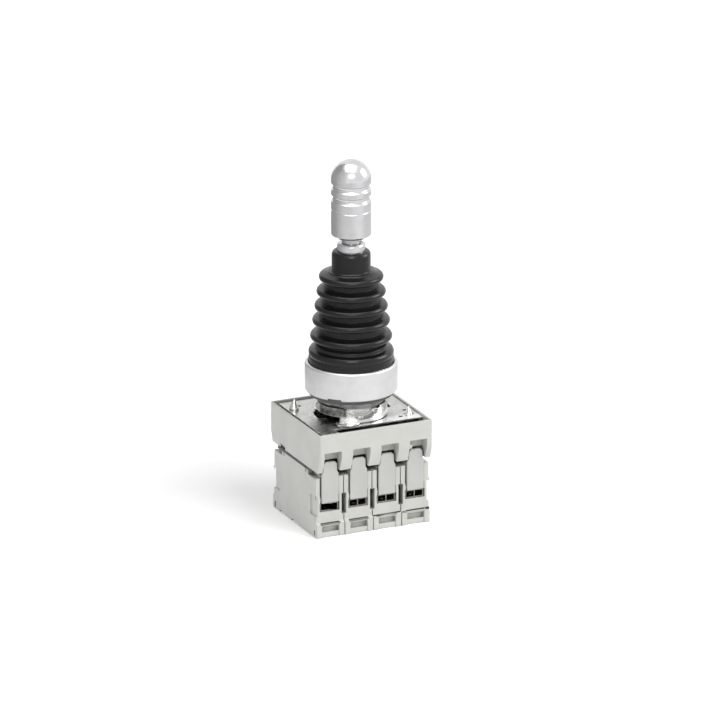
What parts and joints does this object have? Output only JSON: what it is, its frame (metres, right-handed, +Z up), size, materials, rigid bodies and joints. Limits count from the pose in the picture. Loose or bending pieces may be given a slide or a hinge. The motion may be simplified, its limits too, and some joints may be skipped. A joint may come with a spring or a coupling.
{
  "type": "industrial joystick",
  "caption": "Panel joystick with a round metal knob, rubber bellows and round bezel, whose neck passes through the panel into a square frame with contact blocks below.",
  "frame": {"origin": "middle of the underside of the contact blocks, on the lever's axis", "axes": "+Z up the lever to the knob, -Y the front with the release latches, +X along the row of blocks"},
  "size_m": [0.04, 0.0382, 0.1196],
  "materials": {
    "polished_metal": "polished, lightly brushed round the axis",
    "chrome": "bright",
    "steel_shaft": "ground",
    "steel_plate": "stamped",
    "spring_steel": "drawn wire",
    "die_cast": "die cast",
    "neck_metal": "dark turned metal",
    "satin_metal": "satin",
    "rubber": "moulded, satin",
    "lock_metal": "bright plated",
    "zinc_plate": "bright mottled zinc plate",
    "light_plastic": "fine moulded texture",
    "dark_plastic": "fine moulded texture",
    "white_plastic": "smooth",
    "contact_metal": "stamped, silver tips"
  },
  "bodies": {
    "housing": {"operator_body": "neck_metal", "bezel_ring": "satin_metal", "panel_gasket": "rubber", "bellows": "rubber", "bellows_retainer": "steel_plate", "return_spring": "spring_steel", "adapter_plate": "zinc_plate", "clamp_screws": "zinc_plate", "collar": "light_plastic", "terminal_screws": "zinc_plate", "terminal_clamps": "zinc_plate", "contact_case_1": "light_plastic", "contact_cover_1": "dark_plastic", "block_spring_1": "spring_steel", "fixed_contacts_1": "contact_metal", "contact_case_2": "light_plastic", "contact_cover_2": "dark_plastic", "block_spring_2": "spring_steel", "fixed_contacts_2": "contact_metal", "contact_case_3": "light_plastic", "contact_cover_3": "dark_plastic", "block_spring_3": "spring_steel", "fixed_contacts_3": "contact_metal", "contact_case_4": "light_plastic", "contact_cover_4": "dark_plastic", "block_spring_4": "spring_steel", "fixed_contacts_4": "contact_metal"},
    "gimbal": {"gimbal_ring": "die_cast"},
    "lever": {"knob": "polished_metal", "lever_nut": "chrome", "lever_shaft": "steel_shaft", "pivot_pin": "steel_shaft", "cam_plate": "steel_plate", "cam_washer": "steel_plate", "spring_cap": "steel_plate"},
    "pusher_west": {"pusher_west": "white_plastic", "plunger_1": "white_plastic", "contact_bridge_1": "contact_metal"},
    "pusher_north": {"pusher_north": "white_plastic", "plunger_2": "white_plastic", "contact_bridge_2": "contact_metal"},
    "pusher_south": {"pusher_south": "white_plastic", "plunger_3": "white_plastic", "contact_bridge_3": "contact_metal"},
    "pusher_east": {"pusher_east": "white_plastic", "plunger_4": "white_plastic", "contact_bridge_4": "contact_metal"},
    "lock_ring": {"lock_ring": "lock_metal"},
    "latch_1": {"release_latch_1": "light_plastic"},
    "latch_2": {"release_latch_2": "light_plastic"},
    "latch_3": {"release_latch_3": "light_plastic"},
    "latch_4": {"release_latch_4": "light_plastic"}
  },
  "joints": [
    {"name": "gimbal_tilt", "type": "hinge", "parent": "housing", "child": "gimbal", "pos_m": [0, 0, 0.047], "axis": [1, 0, 0], "range_deg": [-15, 15], "stiffness_Nm_per_rad": 0.6, "deforming": ["bellows", "return_spring"]},
    {"name": "lever_tilt", "type": "hinge", "parent": "gimbal", "child": "lever", "pos_m": [0, 0, 0.047], "axis": [0, 1, 0], "range_deg": [-15, 15], "stiffness_Nm_per_rad": 0.6, "deforming": ["bellows", "return_spring"]},
    {"name": "pusher_west_slide", "type": "slide", "parent": "housing", "child": "pusher_west", "axis": [0, 0, 1], "range_m": [-0.00175, 0.00175], "deforming": ["block_spring_1"]},
    {"name": "pusher_north_slide", "type": "slide", "parent": "housing", "child": "pusher_north", "axis": [0, 0, 1], "range_m": [-0.00175, 0.00175], "deforming": ["block_spring_2"]},
    {"name": "pusher_south_slide", "type": "slide", "parent": "housing", "child": "pusher_south", "axis": [0, 0, 1], "range_m": [-0.00175, 0.00175], "deforming": ["block_spring_3"]},
    {"name": "pusher_east_slide", "type": "slide", "parent": "housing", "child": "pusher_east", "axis": [0, 0, 1], "range_m": [-0.00175, 0.00175], "deforming": ["block_spring_4"]},
    {"name": "lock_turn", "type": "hinge", "parent": "housing", "child": "lock_ring", "pos_m": [0, 0, 0.036], "axis": [0, 0, 1], "range_deg": [0, 35]},
    {"name": "latch_1_press", "type": "hinge", "parent": "housing", "child": "latch_1", "pos_m": [-0.015, -0.01575, 0.0126], "axis": [1, 0, 0], "range_deg": [0, 8], "stiffness_Nm_per_rad": 0.02, "springref_deg": -5.73},
    {"name": "latch_2_press", "type": "hinge", "parent": "housing", "child": "latch_2", "pos_m": [-0.005, -0.01575, 0.0126], "axis": [1, 0, 0], "range_deg": [0, 8], "stiffness_Nm_per_rad": 0.02, "springref_deg": -5.73},
    {"name": "latch_3_press", "type": "hinge", "parent": "housing", "child": "latch_3", "pos_m": [0.005, -0.01575, 0.0126], "axis": [1, 0, 0], "range_deg": [0, 8], "stiffness_Nm_per_rad": 0.02, "springref_deg": -5.73},
    {"name": "latch_4_press", "type": "hinge", "parent": "housing", "child": "latch_4", "pos_m": [0.015, -0.01575, 0.0126], "axis": [1, 0, 0], "range_deg": [0, 8], "stiffness_Nm_per_rad": 0.02, "springref_deg": -5.73}
  ],
  "couplings": [
    {"joint": "pusher_west_slide", "follows": "lever_tilt", "m_per_rad": 0.00657},
    {"joint": "pusher_north_slide", "follows": "gimbal_tilt", "m_per_rad": 0.00657},
    {"joint": "pusher_south_slide", "follows": "gimbal_tilt", "m_per_rad": -0.00657},
    {"joint": "pusher_east_slide", "follows": "lever_tilt", "m_per_rad": -0.00657}
  ]
}
